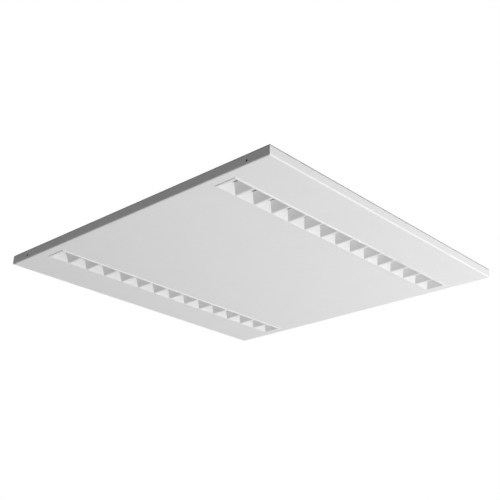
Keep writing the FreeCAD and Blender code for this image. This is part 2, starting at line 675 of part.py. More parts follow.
def frustum(body, kind, name, low, high, level, height):
    """A four sided block over the first cell, from its low length and width to its high ones."""
    item = body.newObject("PartDesign::" + kind, name)
    plane = next(feature for feature in body.Origin.OriginFeatures if feature.Role == "XY_Plane")
    item.AttachmentSupport = [(plane, "")]
    item.MapMode = "FlatFace"
    upright = FreeCAD.Rotation(FreeCAD.Vector(1, 0, 0), 90)
    item.AttachmentOffset = FreeCAD.Placement(FreeCAD.Vector(), upright)
    bind(item, AttachmentOffset__Base__x="first_cell", AttachmentOffset__Base__z=level)
    bind(item, Xmin=f"-({low[0]}) / 2", Xmax=f"({low[0]}) / 2")
    bind(item, Zmin=f"-({low[1]}) / 2", Zmax=f"({low[1]}) / 2")
    bind(item, X2min=f"-({high[0]}) / 2", X2max=f"({high[0]}) / 2")
    bind(item, Z2min=f"-({high[1]}) / 2", Z2max=f"({high[1]}) / 2")
    return bind(item, Ymin="0", Ymax=height)


def cell_sides(step):
    """Length and width of a cell at one of its levels, with walls that bow outwards halfway up."""
    share = f"{step} / {CELL_STEPS}"
    bow = f"8 * cell_bulge * {share} * (1 - {share})"
    return [f"mouth_{way} + (window_{way} - mouth_{way}) * {share} + {bow}" for way in ("length", "width")]


def make_reflectors():
    """The front moulding, and its mirror image across the middle of the tray."""
    body = start_body("reflector_strip_front")
    move(body, y="-strip_offset")
    tag = "reflector"
    rim = rectangle(sketch(body, f"{tag}_rim", z="rim_bottom"), "rim_length", "rim_span")
    pad(body, rim, "rim_drop")
    web = rectangle(sketch(body, f"{tag}_web", z="rim_bottom"), "skirt_length", "skirt_width")
    pad(body, web, "web_height")
    skirt = rectangle(sketch(body, f"{tag}_skirt", z="rim_bottom"), "skirt_length", "skirt_width")
    rectangle(skirt, "skirt_length - 2 * skirt_wall", "skirt_width - 2 * skirt_wall")
    pad(body, skirt, "skirt_height")
    shell = frustum(body, "AdditiveWedge", f"{tag}_shell",
                    ("mouth_length + 2 * shell_side", "mouth_width + 2 * shell_side"),
                    ("window_length + 2 * shell_land", "window_width + 2 * shell_land"),
                    "rim_bottom", "cell_depth")
    row(body, [shell], "cell_count", "row_length - cell_pitch")
    boss = circle(sketch(body, f"{tag}_boss", x="first_boss", z="rim_bottom + web_height / 2"),
                  "boss_diameter")
    boss_pad = pad(body, boss, "cell_depth - web_height / 2")
    row(body, [boss_pad], "boss_count", "(boss_count - 1) * boss_step")
    hook = sketch(body, f"{tag}_hooks", role="YZ_Plane", z="first_boss")
    for hand in (-1, 1):
        hook_outline(hook, hand)
    hook_pad = pad(body, hook, "hook_length", middle=True)
    row(body, [hook_pad], "hook_count", "(hook_count - 1) * hook_step")
    cell = [frustum(body, "SubtractiveWedge", f"{tag}_cell_{step}", cell_sides(step), cell_sides(step + 1),
                    f"rim_bottom + funnel_depth * {step} / {CELL_STEPS}", f"funnel_depth / {CELL_STEPS}")
            for step in range(CELL_STEPS)]
    window = ("window_length", "window_width")
    cell.append(frustum(body, "SubtractiveWedge", f"{tag}_throat", window, window,
                        "rim_bottom + funnel_depth", "throat"))
    row(body, cell, "cell_count", "row_length - cell_pitch")
    pilot = circle(sketch(body, f"{tag}_pilot", x="first_boss", z="-window_drop"),
                   "tapping_screw + 2 * tapping_gap")
    pilot_hole = pocket(body, pilot, "tapping_depth + tapping_screw / 2")
    row(body, [pilot_hole], "boss_count", "(boss_count - 1) * boss_step")
    rear = doc.addObject("Part::Mirroring", "reflector_rear")
    rear.Source = body
    rear.Normal = FreeCAD.Vector(0, 1, 0)
    node("reflector_strip_rear", rear)


def hook_outline(drawing, hand):
    """The wedge of a snap hook on one side of the skirt, seen along the row."""
    first = polygon(drawing, [(hand * 18, -15), (hand * 20, -15), (hand * 18, -13)])
    drawing.addConstraint(Sketcher.Constraint("Horizontal", first))
    drawing.addConstraint(Sketcher.Constraint("Vertical", first + 2))
    root = "skirt_width / 2 - skirt_wall / 2"
    tip = "skirt_width / 2 + slot_clearance + hook_reach"
    dimension(drawing, "DistanceX", (-1, 1, first, 1, hand * 18.0), f"{hand} * ({root})")
    dimension(drawing, "DistanceX", (-1, 1, first, 2, hand * 20.0), f"{hand} * ({tip})")
    dimension(drawing, "DistanceY", (-1, 1, first, 1, -15.0), "floor_top + hook_gap")
    dimension(drawing, "DistanceY", (first, 1, first + 1, 2, 2.0), "hook_height")


# Light sources: a board with diodes and a connector, a heat spreader on its back, screws into the bosses

def make_strip_plate(label, tag, side, width, thick, low):
    """A flat strip over the whole row with holes for the board screws."""
    body = start_body(label)
    move(body, y=f"{side} * strip_offset")
    outline = rectangle(sketch(body, f"{tag}_outline", x="board_tail / 2", z=low), "board_length", width)
    pad(body, outline, thick)
    hole = circle(sketch(body, f"{tag}_hole", x="first_boss", z=low), "tapping_screw + 2 * tapping_gap")
    opening = pocket(body, hole, thick, reverse=True)
    row(body, [opening], "boss_count", "(boss_count - 1) * boss_step")


def make_leds(side_name, side):
    body = start_body(f"led_packages_{side_name}")
    move(body, y=f"{side} * strip_offset")
    outline = sketch(body, f"led_{side_name}_outline", x="first_cell", z="board_under - led_height")
    package = pad(body, rectangle(outline, "led_side", "led_side"), "led_height")
    row(body, [package], "cell_count", "row_length - cell_pitch")


def make_connector(side_name, side):
    """Two pole connector under the board's tail, open towards the middle of the tray."""
    tag = f"connector_{side_name}"
    shell = box(f"{tag}_shell", ("connector_length", "connector_depth", "connector_height"),
                ("connector_x", f"{side} * strip_offset"), "board_under - connector_height")
    entries = []
    for hand in (-1, 1):
        start_y = f"{side} * strip_offset - connector_depth / 2"
        if side < 0:
            start_y = f"{side} * strip_offset + connector_depth / 2 - lead_entry_depth"
        entries.append(rod(f"{tag}_entry_{'high' if hand > 0 else 'low'}", "lead + 2 * wire_entry_gap",
                           "lead_entry_depth",
                           (f"connector_x + {hand} * lead_pitch / 2", start_y, "connector_level"), ALONG_Y))
    node(f"board_connector_{side_name}", cut(tag, shell, entries))


def make_board_screws():
    screws = []
    for side_name, side in SIDES:
        for n in range(int(round(get("boss_count")))):
            tag = f"board_screw_{side_name}_{n}"
            x = f"first_boss + {n} * boss_step"
            y = f"{side} * strip_offset"
            shank = rod(f"{tag}_shank", "tapping_screw", "tapping_depth + board_thick + spreader_thick",
                        (x, y, "-window_drop - tapping_depth"))
            head = hexagon(f"{tag}_head", "tapping_head", "tapping_head_height", (x, y, "spreader_top"))
            screws.append(fuse(tag, [shank, head]))
    node("board_screws", group("board_screw_group", screws))


# Side fastening: press nuts in the end walls and set screws that bear on the ears of the ceiling plate

def make_side_fastening():
    nuts = []
    screws = []
    for side_x in (-1, 1):
        for side_y in (-1, 1):
            tag = f"{'right' if side_x > 0 else 'left'}_{'rear' if side_y > 0 else 'front'}"
            y = f"{side_y} * hole_y"
            wall = "panel_side / 2 - tray_gauge"
            low_x = f"{wall} - press_nut_thick" if side_x > 0 else f"-({wall})"
            blank = rod(f"press_nut_{tag}_blank", "press_nut", "press_nut_thick",
                        (low_x, y, "hole_level"), ALONG_X)
            bore = rod(f"press_nut_{tag}_bore", "set_screw + 2 * set_screw_gap", "press_nut_thick",
                       (low_x, y, "hole_level"), ALONG_X)
            nuts.append(cut(f"press_nut_{tag}", blank, [bore]))
            screws.append(make_set_screw(f"set_screw_{tag}", side_x, y))
    node("press_nuts", group("press_nut_group", nuts))
    node("set_screws", group("set_screw_group", screws))


def make_set_screw(tag, side_x, y):
    """Headless screw with a chamfered tip inside and a hexagon socket outside."""
    length = "set_screw_start - set_screw_end"
    chamfer = "set_screw_chamfer"
    if side_x > 0:
        tip_x, body_x = "set_screw_end", f"set_screw_end + {chamfer}"
        socket_x = "set_screw_start - set_screw_socket_depth"
        tip = cone(f"{tag}_tip", "set_screw_tip", "set_screw", chamfer, (tip_x, y, "hole_level"), ALONG_X)
    else:
        tip_x, body_x = f"-set_screw_end - {chamfer}", "-set_screw_start"
        socket_x = "-set_screw_start"
        tip = cone(f"{tag}_tip", "set_screw", "set_screw_tip", chamfer, (tip_x, y, "hole_level"), ALONG_X)
    shank = rod(f"{tag}_shank", "set_screw", f"{length} - {chamfer}", (body_x, y, "hole_level"), ALONG_X)
    socket = hexagon(f"{tag}_socket", "set_screw_socket", "set_screw_socket_depth",
                     (socket_x, y, "hole_level"), ALONG_X)
    return cut(tag, fuse(f"{tag}_solid", [shank, tip]), [socket])


# Studs and nuts on the tray's floor

STUDS = (
    ("driver_input", "driver_x - driver_foot / 2", "driver_foot_y", "driver_foot_thick"),
    ("driver_output", "driver_end + driver_foot / 2", "driver_foot_y", "driver_foot_thick"),
    ("block_front", "block_middle", "-block_stud_y", "block_ear_thick"),
    ("block_rear", "block_middle", "block_stud_y", "block_ear_thick"),
    ("clamp_front", "clamp_x", "-clamp_span / 2", "clamp_thick"),
    ("clamp_rear", "clamp_x", "clamp_span / 2", "clamp_thick"),
    ("earth", "earth_x", "earth_y", "ring_thick + washer_thick"),
)


def make_studs():
    studs = []
    nuts = []
    for name, x, y, grip in STUDS:
        studs.append(rod(f"stud_{name}", "stud", "stud_length", (x, y, "floor_top")))
        seat = f"floor_top + {grip}"
        blank = hexagon(f"nut_{name}_blank", "nut_flats", "nut_height", (x, y, seat))
        bore = rod(f"nut_{name}_bore", "stud + 2 * nut_gap", "nut_height", (x, y, seat))
        nuts.append(cut(f"nut_{name}", blank, [bore]))
    node("weld_studs", group("stud_group", studs))
    node("stud_nuts", group("nut_group", nuts))


def stud_hole(name, x, y, thick):
    return rod(name, "stud_hole", thick, (x, y, "floor_top"))


# Driver: base sheet with two feet, cover, circuit board with its components, and a terminal in each end

DRIVER_ENDS = (
    ("input", "driver_x", 1, "input_pitch + 2 * pole_margin"),
    ("output", "driver_end", -1, "3 * lead_pitch + 2 * pole_margin"),
)
DRIVER_MIDDLE = "driver_x + driver_length / 2"


def make_driver_cover():
    """Inverted tray with rounded edges, open below and notched for the feet and terminals."""
    block = box("driver_block", ("driver_length", "driver_width", "driver_height"),
                (DRIVER_MIDDLE, "driver_y"), "floor_top")
    floor_top = get("floor_top")
    block = rounded("driver_block_rounded", block, "driver_edge",
                    lambda edge: middle_of(edge).z > floor_top + TOUCH)
    tools = [box("driver_hollow",
                 ("driver_length - 2 * driver_gauge", "driver_width - 2 * driver_gauge",
                  "driver_height - driver_gauge"),
                 (DRIVER_MIDDLE, "driver_y"), "floor_top")]
    for name, end, inward, width in DRIVER_ENDS:
        depth = "driver_plug_depth + driver_plug_gap"
        high = "driver_foot_thick + driver_plug_height + 2 * driver_plug_gap"
        tools.append(box(f"driver_{name}_recess", (depth, f"{width} + 2 * driver_plug_gap", high),
                         (f"{end} + {inward} * ({depth}) / 2", "driver_y"), "floor_top"))
        tools.append(box(f"driver_{name}_notch",
                         ("2 * foot_root", "driver_foot_width + 2 * driver_plug_gap",
                          "driver_foot_thick + driver_plug_gap"),
                         (end, "driver_foot_y"), "floor_top"))
    node("driver_cover", cut("driver_cover_cut", block, tools))


def make_driver_base():
    """Sheet inside the cover with four pressed pillars for the board and a foot past each end."""
    inside = "2 * driver_gauge + 2 * driver_plug_gap"
    pieces = [box("driver_sheet",
                  (f"driver_length - ({inside})", f"driver_width - ({inside})", "driver_foot_thick"),
                  (DRIVER_MIDDLE, "driver_y"), "floor_top")]
    holes = []
    reach = "driver_foot + foot_root - driver_gauge"
    for name, end, inward, width in DRIVER_ENDS:
        foot_x = f"{end} - {inward} * (driver_foot - (foot_root - driver_gauge)) / 2"
        pieces.append(box(f"driver_{name}_foot", (reach, "driver_foot_width", "driver_foot_thick"),
                          (foot_x, "driver_foot_y"), "floor_top"))
        holes.append(stud_hole(f"driver_{name}_foot_hole", f"{end} - {inward} * driver_foot / 2",
                               "driver_foot_y", "driver_foot_thick"))
        for hand in (-1, 1):
            pieces.append(rod(f"driver_{name}_pillar_{'rear' if hand > 0 else 'front'}",
                              "driver_pillar", "driver_board_low - floor_top",
                              (f"{end} + {inward} * 2 * driver_plug_depth",
                               f"driver_y + {hand} * (driver_width / 2 - driver_pillar)", "floor_top")))
    node("driver_base", cut("driver_base_cut", fuse("driver_base_body", pieces), holes))


# Parts soldered on the driver's board, from its input end to its output end
COMPONENTS = ("filter_choke", "input_capacitor", "transformer", "output_capacitor", "output_choke")


def make_driver_board():
    """Circuit board between the two terminals, and the parts soldered on it."""
    node("driver_circuit_board",
         box("driver_board",
             ("driver_length - 2 * driver_plug_depth - 4 * driver_gauge", "driver_width - 4 * driver_gauge",
              "driver_board_thick"),
             (DRIVER_MIDDLE, "driver_y"), "driver_board_low"))
    parts = []
    for n, name in enumerate(COMPONENTS):
        x = f"{DRIVER_MIDDLE} + {n - len(COMPONENTS) // 2} * component_step"
        if name.endswith("capacitor"):
            start = (f"{x} - capacitor_length / 2", "driver_y", "driver_board_top + component_height / 2")
            parts.append(rod(name, "component_height", "capacitor_length", start, ALONG_X))
        else:
            kind = name.split("_")[-1]
            size = (f"{kind}_length", f"{kind}_width", "component_height")
            parts.append(box(name, size, (x, "driver_y"), "driver_board_top"))
    node("driver_components", group("component_group", parts))


def make_driver_terminal(name, end, inward, width):
    """Terminal block in one end of the driver, with an entry hole for each wire."""
    shell = box(f"driver_{name}_plug", ("driver_plug_depth", width, "driver_plug_height"),
                (f"{end} + {inward} * driver_plug_depth / 2", "driver_y"),
                "floor_top + driver_foot_thick + driver_plug_gap")
    if name == "input":
        offsets, pitch, size, level = (-0.5, 0.5), "input_pitch", "wire", "wire_level"
    else:
        offsets, pitch, size, level = (-1.5, -0.5, 0.5, 1.5), "lead_pitch", "lead", "lead_level"
    entries = []
    for n, offset in enumerate(offsets):
        x = end if inward > 0 else f"{end} - driver_entry"
        entries.append(rod(f"driver_{name}_entry_{n}", f"{size} + 2 * wire_entry_gap", "driver_entry",
                           (x, f"driver_y + {offset} * {pitch}", level), ALONG_X))
    node(f"driver_{name}_terminal", cut(f"driver_{name}_cut", shell, entries))


def make_driver():
    make_driver_cover()
    make_driver_base()
    make_driver_board()
    for name, end, inward, width in DRIVER_ENDS:
        make_driver_terminal(name, end, inward, width)


# Mains terminal block: moulded body with a clamp well, release button, leaf spring and contact bar per pole

def make_terminal_block():
    shell = box("block_shell", ("block_length", "block_width", "block_height"), ("block_middle", "0"),
                "floor_top")
    shell = rounded("block_rounded", shell, "block_edge", lambda edge: runs_along(edge, "z"))
    ears = box("block_ears", ("block_ear_length", "2 * (block_stud_y + block_ear_edge)", "block_ear_thick"),
               ("block_middle", "0"), "floor_top")
    tools = []
    for hand in (-1, 1):
        tag = "rear" if hand > 0 else "front"
        tools.append(stud_hole(f"block_ear_hole_{tag}", "block_middle", f"{hand} * block_stud_y",
                               "block_ear_thick"))
    for name, n in POLES:
        y = f"{n} * pole_pitch"
        tools.append(box(f"well_{name}",
                         ("well_length", "well_width", "block_height - block_wall - block_base"),
                         ("block_middle", y), "floor_top + block_base"))
        tools.append(box(f"button_opening_{name}",
                         ("button_length + 2 * button_gap", "button_width + 2 * button_gap", "block_wall"),
                         ("block_middle", y), "well_top"))
        tools.append(rod(f"wire_bore_{name}", "wire + 2 * wire_entry_gap", "block_length",
                         ("block_x", y, "wire_level"), ALONG_X))
        make_pole(name, y)
    node("terminal_block", cut("terminal_block_cut", fuse("terminal_block_body", [shell, ears]), tools))
    bars = [box(f"contact_{name}", ("well_length - 2 * seat_gap", "contact_width", "contact_thick"),
                ("block_middle", f"{n} * pole_pitch"), "floor_top + block_base") for name, n in POLES]
    node("contact_bars", group("contact_group", bars))


def make_pole(name, y):
    """Release button with a retaining lip, and the leaf spring under it."""
    foot_low = "well_top - seat_gap - button_foot_thick"
    stem = box(f"button_stem_{name}",
               ("button_length", "button_width", "block_wall + button_rise + seat_gap + button_foot_thick"),
               ("block_middle", y), foot_low)
    foot = box(f"button_lip_{name}",
               ("button_length + 2 * button_foot", "button_width + 2 * button_foot", "button_foot_thick"),
               ("block_middle", y), foot_low)
    groove_level = "button_rise - block_headroom + button_groove / 2 - button_groove_depth"
    groove = rod(f"button_groove_{name}", "button_groove", "button_width",
                 ("block_middle", f"{y} - button_width / 2", groove_level), ALONG_Y)
    solid = fuse(f"button_solid_{name}", [stem, foot])
    node(f"release_button_{name}", cut(f"button_{name}", solid, [groove]))
    low = get("wire_level") + get("wire") / 2 + get("seat_gap")
    high = get("well_top") - 2 * get("seat_gap") - get("button_foot_thick")
    make_spring(f"clamp_spring_{name}", low, high, dict(POLES)[name] * get("pole_pitch"))


def make_spring(label, low, high, y):
    """A leaf bent back on itself: two straight legs joined by a half circle."""
    outer = (high - low) / 2
    inner = outer - get("spring_thick")
    level = (low + high) / 2
    end_x = get("block_middle") + get("spring_length") / 2
    bend_x = end_x - get("spring_length") + outer
    front = y - get("spring_width") / 2

    def point(x, z):
        return FreeCAD.Vector(x, front, z)

    edges = [
        Part.LineSegment(point(end_x, level + outer), point(bend_x, level + outer)),
        Part.Arc(point(bend_x, level + outer), point(bend_x - outer, level), point(bend_x, level - outer)),
        Part.LineSegment(point(bend_x, level - outer), point(end_x, level - outer)),
        Part.LineSegment(point(end_x, level - outer), point(end_x, level - inner)),
        Part.LineSegment(point(end_x, level - inner), point(bend_x, level - inner)),
        Part.Arc(point(bend_x, level - inner), point(bend_x - inner, level), point(bend_x, level + inner)),
        Part.LineSegment(point(bend_x, level + inner), point(end_x, level + inner)),
        Part.LineSegment(point(end_x, level + inner), point(end_x, level + outer)),
    ]
    face = Part.Face(Part.Wire([edge.toShape() for edge in edges]))
    item = doc.addObject("Part::Feature", label)
    item.Shape = face.extrude(FreeCAD.Vector(0, get("spring_width"), 0))
    node(label, item)


# Earth lug and washer on their stud

def make_earth():
    ring = rod("ring_disc", "ring_diameter", "ring_thick", ("earth_x", "earth_y", "floor_top"))
    tongue = box("ring_tongue", ("tongue_width", "barrel_offset", "ring_thick"),
                 ("earth_x", "earth_y - barrel_offset / 2"), "floor_top")
    neck = box("ring_neck", ("tongue_width", "ring_thick", "wire_rise"),
               ("earth_x", "earth_y - barrel_offset + ring_thick / 2"), "floor_top")
    barrel = rod("ring_barrel", "barrel_diameter", "barrel_length",
                 ("earth_x", "earth_y - barrel_offset - barrel_length + ring_thick", "wire_level"), ALONG_Y)
    bore = rod("ring_bore", "wire + 2 * seat_gap", "barrel_length - ring_thick",
               ("earth_x", "earth_y - barrel_offset - barrel_length + ring_thick", "wire_level"), ALONG_Y)
    hole = stud_hole("ring_hole", "earth_x", "earth_y", "ring_thick")
    solid = fuse("earth_lug_body", [ring, tongue, neck, barrel])
    node("earth_lug", cut("earth_lug_cut", solid, [bore, hole]))
    seat = "floor_top + ring_thick"
    disc = rod("washer_disc", "washer_diameter", "washer_thick", ("earth_x", "earth_y", seat))
    bore = rod("washer_bore", "stud_hole", "washer_thick", ("earth_x", "earth_y", seat))
    node("earth_washer", cut("earth_washer_cut", disc, [bore]))


# Cable clamp: arched strap over the incoming cable

def make_cable_clamp():
    arch = box("clamp_arch", ("clamp_length", "cable_width + 2 * clamp_thick", "cable_height + clamp_thick"),
               ("clamp_x", "0"), "floor_top")
    top = get("floor_top") + get("cable_height") + get("clamp_thick")
    arch = rounded("clamp_arch_rounded", arch, "clamp_thick",
                   lambda edge: runs_along(edge, "x") and middle_of(edge).z > top - TOUCH)
    foot_width = "clamp_span + clamp_foot"
    feet = box("clamp_feet", ("clamp_length", foot_width, "clamp_thick"), ("clamp_x", "0"), "floor_top")
    room = box("clamp_room", ("clamp_length", "cable_width", "cable_height"), ("clamp_x", "0"), "floor_top")
    holes = [stud_hole(f"clamp_hole_{n}", "clamp_x", f"{hand} * clamp_span / 2", "clamp_thick")
             for n, hand in enumerate((-1, 1))]
    node("cable_clamp", cut("cable_clamp_cut", fuse("cable_clamp_body", [arch, feet]), [room] + holes))


# Wires: straight runs joined by tangent arcs

# Flat sides of a thin wire
WIRE_SIDES = 8


def wire_section(middle, along, diameter):
    """A regular polygon of equal width to the wire, square to its first run."""
    up = FreeCAD.Vector(0, 0, 1)
    side = up.cross(along).normalize()
    radius = diameter / 2
    corners = []
    for n in range(WIRE_SIDES):
        angle = 2 * math.pi * (n + 0.5) / WIRE_SIDES
        corners.append(middle + side * (radius * math.cos(angle)) + up * (radius * math.sin(angle)))
    return Part.makePolygon(corners + corners[:1])


def tube(label, points, diameter, bends):
    """A wire through points, with one bend radius for each inner point."""
    points = [FreeCAD.Vector(*point) for point in points]
    edges = []
    length = 0
    here = points[0]
    for before, corner, after, radius in zip(points, points[1:], points[2:], bends):
        inward = (corner - before).normalize()
        outward = (after - corner).normalize()
        turn = inward.getAngle(outward)
        reach = radius * math.tan(turn / 2)
        start = corner - inward * reach
        end = corner + outward * reach
        aside = (outward - inward).normalize()
        middle = corner + aside * (radius / math.cos(turn / 2) - radius)
        edges.append(Part.LineSegment(here, start).toShape())
        edges.append(Part.Arc(start, middle, end).toShape())
        here = end
    edges.append(Part.LineSegment(here, points[-1]).toShape())
    path = Part.Wire(edges)
    profile = wire_section(points[0], points[1] - points[0], diameter)
    item = doc.addObject("Part::Feature", label)
    item.Shape = path.makePipeShell([profile], True, False)
    expected = Part.Face(profile).Area * path.Length
    print(label, "radii", [round(bend, 1) for bend in bends], "length", round(path.Length, 1),
          "volume share", round(item.Shape.Volume / expected, 5))
    node(label, item)


# Radius of a mains wire's bend as a share of the distance that its half turn covers
BEND_SHARE = 0.45


def make_mains_wires():
    level = get("wire_level")
    start_x = get("block_x") + get("wire_entry_depth")
    end_x = get("driver_x") + get("driver_entry") - get("entry_end_gap")
    for name, pole, hand in (("live", -1, 1), ("neutral", 0, -1)):
        y_start = pole * get("pole_pitch")
        y_end = get("driver_y") + hand * get("input_pitch") / 2
        radius = BEND_SHARE * (y_end - y_start)
        turn_x = get("wire_turn_x") - radius
        points = [(start_x, y_start, level), (turn_x, y_start, level),
                  (turn_x, y_end, level), (end_x, y_end, level)]
        tube(f"wire_{name}", points, get("wire"), [radius, radius])
    y_start = get("pole_pitch")
    y_end = get("earth_y") - get("barrel_offset") - 2 * get("seat_gap")
    points = [(start_x, y_start, level), (get("earth_x"), y_start, level), (get("earth_x"), y_end, level)]
    tube("wire_earth", points, get("wire"), [get("earth_bend")])


def make_leads():
    low = get("lead_level")
    high = get("connector_level")
    pitch = get("lead_pitch")
    start_x = get("driver_end") - get("driver_entry") + get("entry_end_gap")
    end_y = get("strip_offset") - get("connector_depth") / 2 + get("lead_entry_depth") - get("entry_end_gap")
    for side_name, side in SIDES:
        for name, share, hand, extra in (("plus", 1.5, -1, 0), ("minus", 0.5, 1, pitch)):
            y = get("driver_y") + side * share * pitch
            x = get("connector_x") + hand * pitch / 2
            points = [(start_x, y, low), (x, y, low), (x, side * get("climb_start"), low),
                      (x, side * get("climb_end"), high), (x, side * end_y, high)]
            bends = [get("lead_bend") + extra, get("climb_bend"), get("climb_bend")]
            tube(f"lead_{side_name}_{name}", points, get("lead"), bends)


# Wire clips on the tray's floor

def clip(tag, middle, count, along_x):
    """A nylon bridge over a number of leads, on an adhesive foot."""
    room = f"{count - 1} * lead_pitch + lead + 2 * clip_gap"
    outer = f"{room} + 2 * clip_wall"
    foot = f"{outer} + 2 * clip_base"
    high = "lead_rise + lead / 2 + clip_gap + clip_wall"

    def block(name, width, height, low):
        size = ("clip_length", width, height) if along_x else (width, "clip_length", height)
        return box(f"{tag}_{name}", size, middle, low)

    bridge = block("bridge", outer, high, "floor_top")
    base = block("foot", foot, "clip_wall", "floor_top")
    space = block("space", room, "lead + 2 * clip_gap", "lead_level - lead / 2 - clip_gap")
    return cut(tag, fuse(f"{tag}_body", [bridge, base]), [space])


def make_clips():
    clips = [clip("clip_bundle", ("bundle_clip_x", "driver_y"), 4, True)]
    for side_name, side in SIDES:
        clips.append(clip(f"clip_{side_name}", ("connector_x", f"{side} * pair_clip_y"), 2, False))
    node("wire_clips", group("clip_group", clips))


def make_all():
    make_tray()
    make_edge_seal()
    make_ceiling_plate()
    make_grommet()
    make_side_fastening()
    make_reflectors()
    for side_name, side in SIDES:
        make_strip_plate(f"led_board_{side_name}", f"board_{side_name}", side,
                         "board_width", "board_thick", "board_under")
        make_strip_plate(f"heat_spreader_{side_name}", f"spreader_{side_name}", side,
                         "spreader_width", "spreader_thick", "board_top")
        make_leds(side_name, side)
        make_connector(side_name, side)
    make_board_screws()
    make_driver()
    make_terminal_block()
    make_earth()
    make_cable_clamp()
    make_studs()
    make_mains_wires()
    make_leads()
    make_clips()


def check_all():
    """Stops if any object failed or any sub-part has no sound shape."""
    doc.recompute()
    failed = [item.Name for item in doc.Objects if {"Invalid", "Error"} & set(item.State)]
    if failed:
        raise RuntimeError("failed objects: " + ", ".join(failed))
    for label, item in nodes.items():
        if item.Shape.isNull() or not item.Shape.isValid() or not item.Shape.Solids:
            raise RuntimeError("no sound shape: " + label)


make_all()
check_all()
os.makedirs("parts", exist_ok=True)
for label, item in nodes.items():
    item.Shape.exportStep(f"parts/{label}.step")
    print(label, "solids", len(item.Shape.Solids), "volume", round(item.Shape.Volume, 1))
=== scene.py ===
"""Looks of a square surface mounted luminaire with two rows of reflector cells.

Gives each solid its finish, makes finer forms of the reflectors and springs, and sets up the studio.
"""

import json
import math
from collections import namedtuple

import bmesh
import bpy
from mathutils import Matrix, Vector


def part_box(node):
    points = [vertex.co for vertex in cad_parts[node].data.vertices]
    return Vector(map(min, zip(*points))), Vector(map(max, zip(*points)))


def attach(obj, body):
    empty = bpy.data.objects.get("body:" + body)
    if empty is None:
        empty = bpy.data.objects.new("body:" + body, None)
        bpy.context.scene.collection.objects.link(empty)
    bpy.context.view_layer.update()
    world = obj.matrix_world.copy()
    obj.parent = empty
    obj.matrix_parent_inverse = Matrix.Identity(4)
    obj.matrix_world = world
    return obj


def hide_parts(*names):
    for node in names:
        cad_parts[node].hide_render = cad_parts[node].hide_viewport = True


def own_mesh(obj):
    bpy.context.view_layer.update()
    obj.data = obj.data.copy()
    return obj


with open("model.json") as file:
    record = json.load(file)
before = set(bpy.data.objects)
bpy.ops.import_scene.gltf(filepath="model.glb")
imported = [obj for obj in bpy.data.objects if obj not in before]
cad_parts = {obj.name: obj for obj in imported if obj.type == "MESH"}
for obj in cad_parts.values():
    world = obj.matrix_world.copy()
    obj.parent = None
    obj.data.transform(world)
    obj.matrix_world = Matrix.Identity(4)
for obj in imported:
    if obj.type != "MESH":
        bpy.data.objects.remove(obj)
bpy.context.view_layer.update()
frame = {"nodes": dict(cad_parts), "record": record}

record = frame["record"]
slots = {row["node"]: row["material_slot"] for row in record["subparts"]}
bodies = {node: body for body, nodes in record["behaviour"]["bodies"].items() for node in nodes}
strip_low, strip_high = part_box("reflector_strip_front")

MM = 0.001

# Reflector cells, as in the moulding: mouth and window are measured along the row and across it
CELL_COUNT = 14
CELL_PITCH = 40.0 * MM
ROW_OFFSET = 200.0 * MM
MOUTH = Vector((36.0, 35.2)) * MM
WINDOW = Vector((4.0, 10.0)) * MM
THROAT = 1.4 * MM

# Back of a cell: thickness of its wall at the foot, and land round the window at the top
SHELL_SIDE = 1.6 * MM
SHELL_LAND = 1.2 * MM

# Finer form of a cell: bow of its walls, roundings, and steps of the curves
WALL_BOW = 0.4 * MM
MOUTH_EDGE = 0.5 * MM
RIM_EDGE = 0.35 * MM
VALLEY_RADIUS = 0.9 * MM
EDGE_STEPS = 3
WALL_STEPS = 10
CORNER_STEPS = 4

# Mesh work: points nearer than this are one, bends sharper than this stay sharp, faces whose normal is
# lower than this look down, and this profile makes a bevel round
WELD = 0.002 * MM
SMOOTH_ANGLE = math.radians(32)
DOWNWARD = -0.05
ROUND_PROFILE = 0.5

# Tones of the reflectors that the record doesn't give: white of the rim, as the cells' darker tone from the
# record is painted shade, with the height of its band, and painted shade of the throats, which only lie in
# shadow, with the level where they begin and how far off their walls it reaches
RIM_WHITE = (0.87, 0.87, 0.87, 1)
RIM_BAND = 0.4 * MM
THROAT_PAINTED_SHADE = (0.4, 0.4, 0.4, 1)
THROAT_LEVEL = strip_high.z - THROAT
THROAT_MARGIN = 0.1 * MM

# Diodes: round window, colour of the package round it, painted dark grey as shade, and how much of the
# phosphor's yellow shows
DIODE_WINDOW = 1.6 * MM
DIODE_PACKAGE_PAINTED_SHADE = (0.2, 0.2, 0.2, 1)
PHOSPHOR_TINT = 0.3

# Wires: size of the insulation's grain, the two colours of the earth wire, and the height of the normals
# from which it is yellow
WIRE_GRAIN = 0.6 * MM
EARTH_GREEN = (0.03, 0.28, 0.06, 1)
EARTH_YELLOW = (0.8, 0.62, 0.04, 1)
EARTH_STRIPE = 0.6

# Share of light that surfaces mirror, as the shader's level
SPECULAR = 0.5
SPECULAR_PAINT = 0.25

# Values that a pattern of noise mostly keeps between
NOISE_LOW = 0.25
NOISE_HIGH = 0.75

# Studio: strengths of the world as a light and as it is seen, and the floor in metres
WHITE = (1, 1, 1, 1)
AMBIENT = 0.142
BACKDROP = 1.0
FLOOR_LEVEL = -2.5
FLOOR_SIDE = 200.0
FLOOR_TILES = 4
FLOOR_COLOUR = (0.86, 0.86, 0.86)
FLOOR_ROUGHNESS = 0.8
FLOOR_GLOW = 0.5

# Lamps: place in metres, watts, side in metres
LAMPS = {
    "front": ((0.20, -2.31, -0.62), 20.0, 1.6),
    "front_low": ((0.15, -1.69, -1.70), 10.0, 1.6),
    "right_low": ((1.47, -0.85, -1.70), 26.0, 1.6),
    "right_high": ((2.03, -1.17, 0.50), 17.5, 1.6),
    "behind": ((0.6, 2.4, 1.6), 60.0, 2.6),
}

# Camera of the photograph: place in metres, angles in degrees, sensor and lens in millimetres
CAMERA_PLACE = (-1.0725, -0.9775, -0.5895)
CAMERA_HEADING = 42.633
CAMERA_CLIMB = 22.940
CAMERA_ROLL = 0.695
SENSOR = 36.0
LENS = 63.20


# Shader nodes

